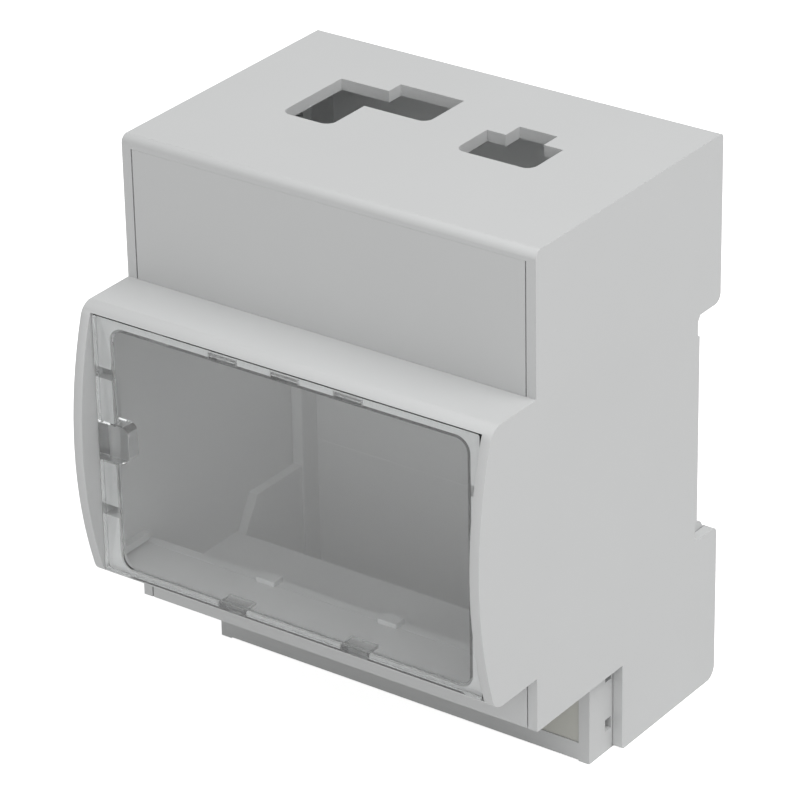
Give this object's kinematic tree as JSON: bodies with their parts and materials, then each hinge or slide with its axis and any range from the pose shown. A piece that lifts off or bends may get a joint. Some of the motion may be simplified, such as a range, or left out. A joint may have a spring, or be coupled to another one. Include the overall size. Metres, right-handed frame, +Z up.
{
  "type": "din rail enclosure",
  "caption": "Stepped empty housing for a 35 mm DIN rail, with a clear front window, cut-outs in the top, an open terminal notch and sprung rail clips at the back.",
  "frame": {"origin": "under the middle of the body, on the plane of its lowest faces", "axes": "-Y to the front with the window, +Y to the rail, +Z up along the height as it hangs on the rail, +X to the right seen from the front"},
  "size_m": [0.0716, 0.0622, 0.09],
  "materials": {
    "grey_plastic": "fine matt moulded ABS, light grey",
    "cover_plastic": "matt moulded ABS, slightly warmer grey",
    "clear_plastic": "clear polycarbonate, polished",
    "clip_plastic": "smooth moulded acetal, grey"
  },
  "bodies": {
    "housing": {"housing_shell": "grey_plastic", "housing_base": "grey_plastic", "upper_front_cover": "grey_plastic", "lower_front_cover": "grey_plastic", "base_front_cover": "cover_plastic", "window": "clear_plastic"},
    "clip_left": {"rail_clip_left": "clip_plastic"},
    "clip_right": {"rail_clip_right": "clip_plastic"}
  },
  "joints": [
    {"name": "rail_clip_left_slide", "type": "slide", "parent": "housing", "child": "clip_left", "axis": [0, 0, -1], "range_m": [0, 0.0035], "stiffness_N_per_m": 400},
    {"name": "rail_clip_right_slide", "type": "slide", "parent": "housing", "child": "clip_right", "axis": [0, 0, -1], "range_m": [0, 0.0035], "stiffness_N_per_m": 400}
  ]
}
